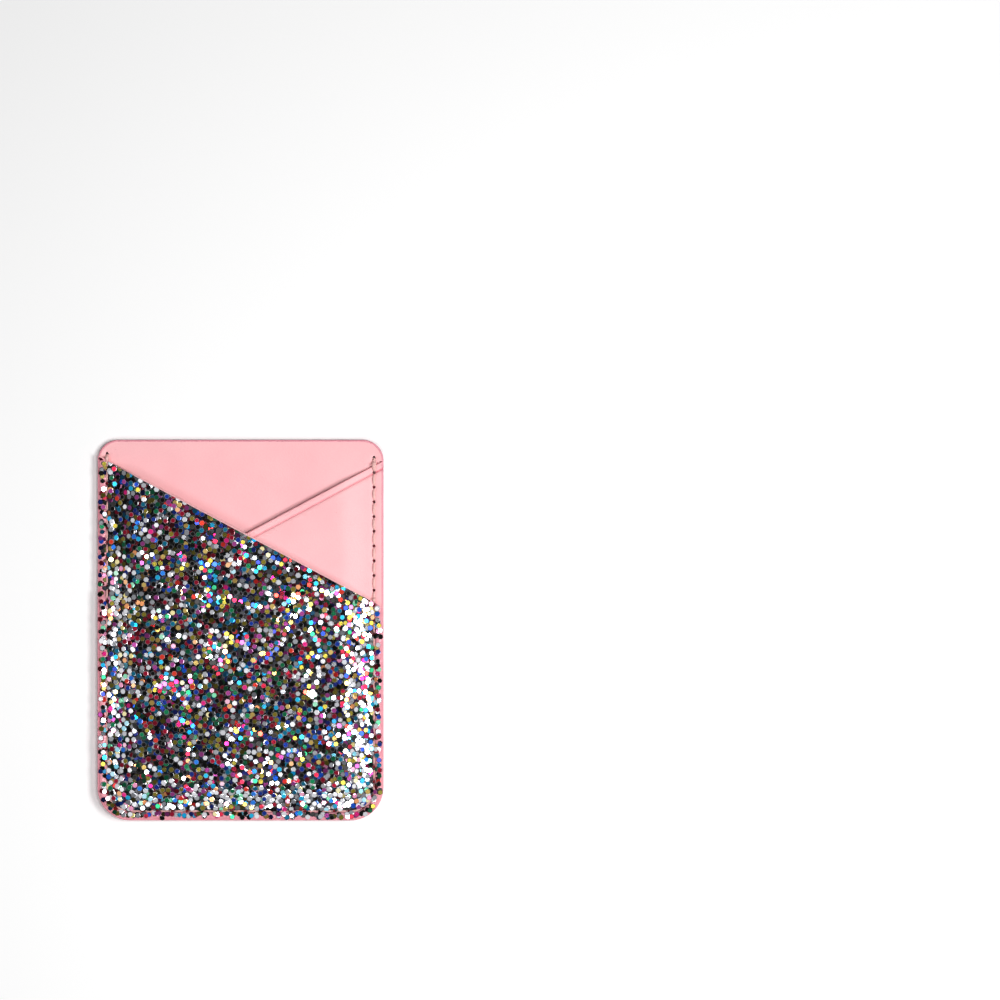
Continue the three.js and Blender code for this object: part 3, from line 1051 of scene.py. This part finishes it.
def flake_object(name, plates, shade, materials):
    """Thin hexagonal plates with sloping edges."""
    faces = []
    slots = []
    for plate in range(len(plates)):
        low = [plate * 2 * FLAKE_SIDES + i for i in range(FLAKE_SIDES)]
        high = [i + FLAKE_SIDES for i in low]
        faces += [tuple(high), tuple(low[::-1])]
        for i in range(FLAKE_SIDES):
            after = (i + 1) % FLAKE_SIDES
            faces.append((low[i], low[after], high[after], high[i]))
        slots += [0] + [1] * (FLAKE_SIDES + 1)
    attributes = {"shade": np.repeat(shade, 2 * FLAKE_SIDES)}
    return make_object(name, plates.reshape(-1, 3), faces, materials, slots, False, attributes)


# Threads

# The needle thread's radius, how far it bites into the face, and how far its whole length is mixed towards
# the dark red of the painted hole shade. Over the glitter that redder tone is partly the thread's own
# colour and partly painted shade
OVER_LEATHER = (0.36, 0.08, 0.0)
OVER_GLITTER = (0.22, 0.16, 0.22)
# How high the middle of the thread lies over the face, as a share of its radius
THREAD_REST = 0.8
# A stitch is thinner at its ends, swells quickly from them and dives towards its holes
END_TAPER = 0.5
SWELL_POWER = 0.4
END_DIVE = 0.5
DIVE_POWER = 0.35
# How much painted hole shade the ends of a stitch take
END_HOLE_SHADE = 0.7
# The thread lies on the highest part of the face near it, which is felt for along the seam
FEELERS = (-0.45, -0.2, 0, 0.2, 0.45)
FEELER_END = 0.2
# How far from a hole's middle the thread goes down, and where the first and last stitches start
LEG_OFFSET = 0.36
TACK_OFFSET = 0.12
LEG_DEPTH = 0.2
KNOT_RADIUS = 0.3
BACKTACK_SWELL = 1.4

BOBBIN_RADIUS = 0.17
BOBBIN_GAP = 0.04
BOBBIN_TAPER = 0.8
# How much painted hole shade the bobbin thread takes where it comes up a hole
BOBBIN_HOLE_SHADE = 0.5
# How far the bobbin thread comes up in a hole, and at the hole's lip
BOBBIN_RISES = (0.6, 0.12)

THREAD_SIDES = 15
STRANDS = 3
THREAD_LAY = 1.5
STRAND_DEPTH = 0.256
STRAND_SHARPNESS = 1.5
RUN_STEPS = 14


def surface_top(x, y):
    """The face that the needle thread lies on."""
    x = np.asarray(x, float)
    y = np.asarray(y, float)
    top = np.where(below_mouth(MIDDLE_MOUTH, x, y) > 0, middle_over(x, y), back_over(x, y))
    return np.where(below_mouth(FRONT_MOUTH, x, y) > 0, glitter_over(x, y), top)


def face_height(length, start, end):
    """The highest level of the face near a place along a stitch."""
    near = [min(max(length + feeler, start - FEELER_END), end + FEELER_END) for feeler in FEELERS]
    return max(float(surface_top(*seam_at(place)[0])) for place in near)


def stitch_row(length, share, height):
    """Place, level, radius, the seam's angle and share of painted hole shade, at a share of the way along a
    stitch.
    """
    place, angle = seam_at(length)
    arch = math.sin(math.pi * share) if 0 < share < 1 else 0.0
    full, bite, red_shade = OVER_GLITTER if below_mouth(FRONT_MOUTH, *place) > 0 else OVER_LEATHER
    radius = full * (END_TAPER + (1 - END_TAPER) * arch**SWELL_POWER)
    dive = END_DIVE * (1 - arch**DIVE_POWER) + bite
    return [place, height + radius * THREAD_REST - dive, radius, angle, red_shade]


def leg_row(place, level, angle):
    """The thread's lower end in a hole, thick and wholly in the painted hole shade."""
    return [place, level, KNOT_RADIUS, angle, 1.0]


def stitch_path(index):
    """Rows along one stitch on the face, with its legs in the holes."""
    first = index == 0
    last = index == STITCH_COUNT - 1
    start = index * STITCH_STEP + (TACK_OFFSET if first else LEG_OFFSET)
    end = (index + 1) * STITCH_STEP - (TACK_OFFSET if last else LEG_OFFSET)
    rows = []
    for i in range(RUN_STEPS + 1):
        share = i / RUN_STEPS
        length = start + (end - start) * share
        rows.append(stitch_row(length, share, face_height(length, start, end)))
    levels = [row[1] for row in rows]
    for i in range(1, len(rows) - 1):
        rows[i][1] = (levels[i - 1] + 2 * levels[i] + levels[i + 1]) / 4
    if first or last:
        for row in rows:
            row[2] *= BACKTACK_SWELL
    rows[0][4] = END_HOLE_SHADE
    rows[-1][4] = END_HOLE_SHADE
    before = [leg_row(rows[0][0], rows[0][1] - LEG_DEPTH, rows[0][3])]
    after = [leg_row(rows[-1][0], rows[-1][1] - LEG_DEPTH, rows[-1][3])]
    if first:
        place, angle = seam_at(-LEG_OFFSET)
        before.insert(0, leg_row(place, before[0][1], angle))
    if last:
        place, angle = seam_at(SEAM_LENGTH + LEG_OFFSET)
        after.append(leg_row(place, after[0][1], angle))
    return before + rows + after


def bobbin_run(index):
    """Rows along one stitch on the back, which comes up a hole at each end."""
    start = index * STITCH_STEP + LEG_OFFSET
    end = (index + 1) * STITCH_STEP - LEG_OFFSET
    level = BACK_BOTTOM - BOBBIN_RADIUS - BOBBIN_GAP

    def rising(length, rises):
        place, angle = seam_at(length)
        return [[place, level + rise, BOBBIN_RADIUS * BOBBIN_TAPER, angle, BOBBIN_HOLE_SHADE] for rise in rises]

    rows = rising(start, BOBBIN_RISES)
    for i in range(1, RUN_STEPS):
        place, angle = seam_at(start + (end - start) * i / RUN_STEPS)
        rows.append([place, level, BOBBIN_RADIUS, angle, 0.0])
    return rows + rising(end, BOBBIN_RISES[::-1])


def tube_faces(rings, sides):
    """Walls between rings of points, and a face over each end."""
    faces = []
    for ring in range(rings - 1):
        for side in range(sides):
            a = ring * sides + side
            b = ring * sides + (side + 1) % sides
            faces.append((a, b, b + sides, a + sides))
    faces.append(tuple(range(sides))[::-1])
    faces.append(tuple((rings - 1) * sides + side for side in range(sides)))
    return faces


def thread_object(name, runs, material):
    """A tube through all the rows of its runs, with grooves between its twisted strands."""
    rows = [row for run in runs for row in run]
    centres = np.array([(row[0][0], row[0][1], row[1]) for row in rows])
    ahead = np.gradient(centres, axis=0)
    ahead /= np.linalg.norm(ahead, axis=1)[:, None]
    lengths = np.concatenate([[0], np.cumsum(np.linalg.norm(np.diff(centres, axis=0), axis=1))])
    points = []
    for i, (_, _, radius, angle, _) in enumerate(rows):
        side = np.array([-math.sin(angle), math.cos(angle), 0.0])
        lift = np.cross(ahead[i], side)
        lift /= np.linalg.norm(lift)
        side = np.cross(lift, ahead[i])
        twist = 2 * math.pi * lengths[i] / THREAD_LAY
        for k in range(THREAD_SIDES):
            around = 2 * math.pi * k / THREAD_SIDES
            strand = abs(math.cos(STRANDS / 2 * (around - twist)))
            reach = radius * (1 - STRAND_DEPTH * (1 - strand) ** STRAND_SHARPNESS)
            points.append(centres[i] + reach * (math.cos(around) * side + math.sin(around) * lift))
    faces = tube_faces(len(rows), THREAD_SIDES)
    # Each row's share of the painted hole shade, kept as the depth attribute
    depth = np.repeat([row[4] for row in rows], THREAD_SIDES)
    return make_object(name, points, faces, [material], attributes={"depth": depth})


def build_threads():
    needle = thread_object(
        "needle_stitches",
        [stitch_path(i) for i in range(STITCH_COUNT)],
        thread("needle_thread", NEEDLE_DARK, NEEDLE_LIGHT),
    )
    add_piece(needle, "thread", "needle_thread")
    bobbin = thread_object(
        "bobbin_stitches",
        [bobbin_run(i) for i in range(STITCH_COUNT)],
        thread("bobbin_thread", BOBBIN_DARK, BOBBIN_LIGHT),
    )
    add_piece(bobbin, "thread", "bobbin_thread")


# The adhesive's edge from the bottom up, as inset and level
ADHESIVE_EDGE = ((0.12, 0.0), (0.0, 0.1), (0.0, BACK_BOTTOM - 0.06), (0.08, BACK_BOTTOM))


def build_adhesive():
    points = []
    for inset, level in ADHESIVE_EDGE:
        points += [(x, y, level) for x, y in closed_loop(ADHESIVE_INSET + inset)]
    faces = tube_faces(len(ADHESIVE_EDGE), len(points) // len(ADHESIVE_EDGE))
    sheet = make_object("adhesive_pad", points, faces, [adhesive("adhesive_foam")])
    sheet.data.set_sharp_from_angle(angle=math.radians(ADHESIVE_SHARP))
    add_piece(sheet, "adhesive", "adhesive_sheet")


# Stage, light and camera

PHOTO_SIZE = 1000
MM_PER_PIXEL = 0.2137
HOLDER_PIXEL = (240.8, 629.9)
LENS = 250
SENSOR = 36
CLIP_START = 0.05
CLIP_END = 20

# How bright the room is for rays that don't come straight from the camera or off something shiny
FILL = 0.02

# name, direction, distance and size in metres, and what it radiates
LAMPS = (
    ("key", (0.16, -0.02, 0.98), 0.36, (0.056, 0.056), 36),
    ("right_strip", (0.6, -0.03, 0.8), 0.6, (0.28, 0.17), 15.3),
    ("low_strip", (0.0, -0.5, 0.86), 0.6, (0.07, 0.15), 18),
    ("left_strip", (-0.5, 0.0, 0.86), 0.6, (0.13, 0.05), 20),
)

# The floor lies just below the adhesive, so that the two faces don't flicker
FLOOR_HALF = 1500
FLOOR_LEVEL = -0.02
FLOOR_COLOUR = (0.93, 0.93, 0.93, 1)
FLOOR_GLOW = 0.1


def build_camera():
    """A long lens far above the holder, whose middle falls on its place in the photograph."""
    data = bpy.data.cameras.new("camera")
    data.lens = LENS
    data.sensor_width = SENSOR
    camera = bpy.data.objects.new("camera", data)
    span = PHOTO_SIZE * MM_PER_PIXEL
    right = (PHOTO_SIZE / 2 - HOLDER_PIXEL[0]) * MM_PER_PIXEL
    up = (HOLDER_PIXEL[1] - PHOTO_SIZE / 2) * MM_PER_PIXEL
    camera.location = (right * MM, up * MM, span * LENS / SENSOR * MM)
    data.clip_start = CLIP_START
    data.clip_end = CLIP_END
    bpy.context.scene.collection.objects.link(camera)
    bpy.context.scene.camera = camera


def area_light(name, direction, distance, size, radiance):
    """A soft box that faces the holder, given by what it radiates."""
    data = bpy.data.lights.new(name, "AREA")
    data.shape = "RECTANGLE"
    data.size = size[0]
    data.size_y = size[1]
    data.energy = radiance * math.pi * size[0] * size[1]
    light = bpy.data.objects.new(name, data)
    away = Vector(direction).normalized()
    light.location = away * distance
    light.rotation_euler = away.to_track_quat("Z", "Y").to_euler()
    bpy.context.scene.collection.objects.link(light)


def seen_directly(tree):
    """1 for rays from the camera or off something shiny, else 0."""
    path = tree.nodes.new("ShaderNodeLightPath")
    total = path.outputs["Is Camera Ray"]
    for name in ("Is Glossy Ray", "Is Transmission Ray"):
        larger = tree.nodes.new("ShaderNodeMath")
        larger.operation = "MAXIMUM"
        tree.links.new(total, larger.inputs[0])
        tree.links.new(path.outputs[name], larger.inputs[1])
        total = larger.outputs[0]
    return total

def build_world():
    """A white room, which lights the holder much less than it shows."""
    world = bpy.data.worlds.new("studio")
    bpy.context.scene.world = world
    world.use_nodes = True
    tree = world.node_tree
    background = tree.nodes["Background"]
    background.inputs["Color"].default_value = (1, 1, 1, 1)
    strength = tree.nodes.new("ShaderNodeMapRange")
    strength.inputs["To Min"].default_value = FILL
    strength.inputs["To Max"].default_value = 1.0
    tree.links.new(seen_directly(tree), strength.inputs["Value"])
    tree.links.new(strength.outputs["Result"], background.inputs["Strength"])


def build_floor():
    corners = ((-1, -1), (1, -1), (1, 1), (-1, 1))
    points = [(x * FLOOR_HALF, y * FLOOR_HALF, FLOOR_LEVEL) for x, y in corners]
    floor_paint = Nodes("floor")
    floor_paint.set(Base_Color=FLOOR_COLOUR, Roughness=1.0, Specular_IOR_Level=0.0)
    floor_paint.set(Emission_Color=(1, 1, 1, 1))
    glow = floor_paint.span(seen_directly(floor_paint.tree), 0.0, FLOOR_GLOW)
    floor_paint.link(glow, floor_paint.shader.inputs["Emission Strength"])
    floor = make_object("floor", points, [(0, 1, 2, 3)], [floor_paint.material])


def build_studio():
    build_world()
    build_floor()
    for lamp in LAMPS:
        area_light(*lamp)
    bpy.context.scene.view_settings.view_transform = "Standard"


build_camera()
build_studio()
build_sheets()
build_flakes()
build_threads()
build_adhesive()
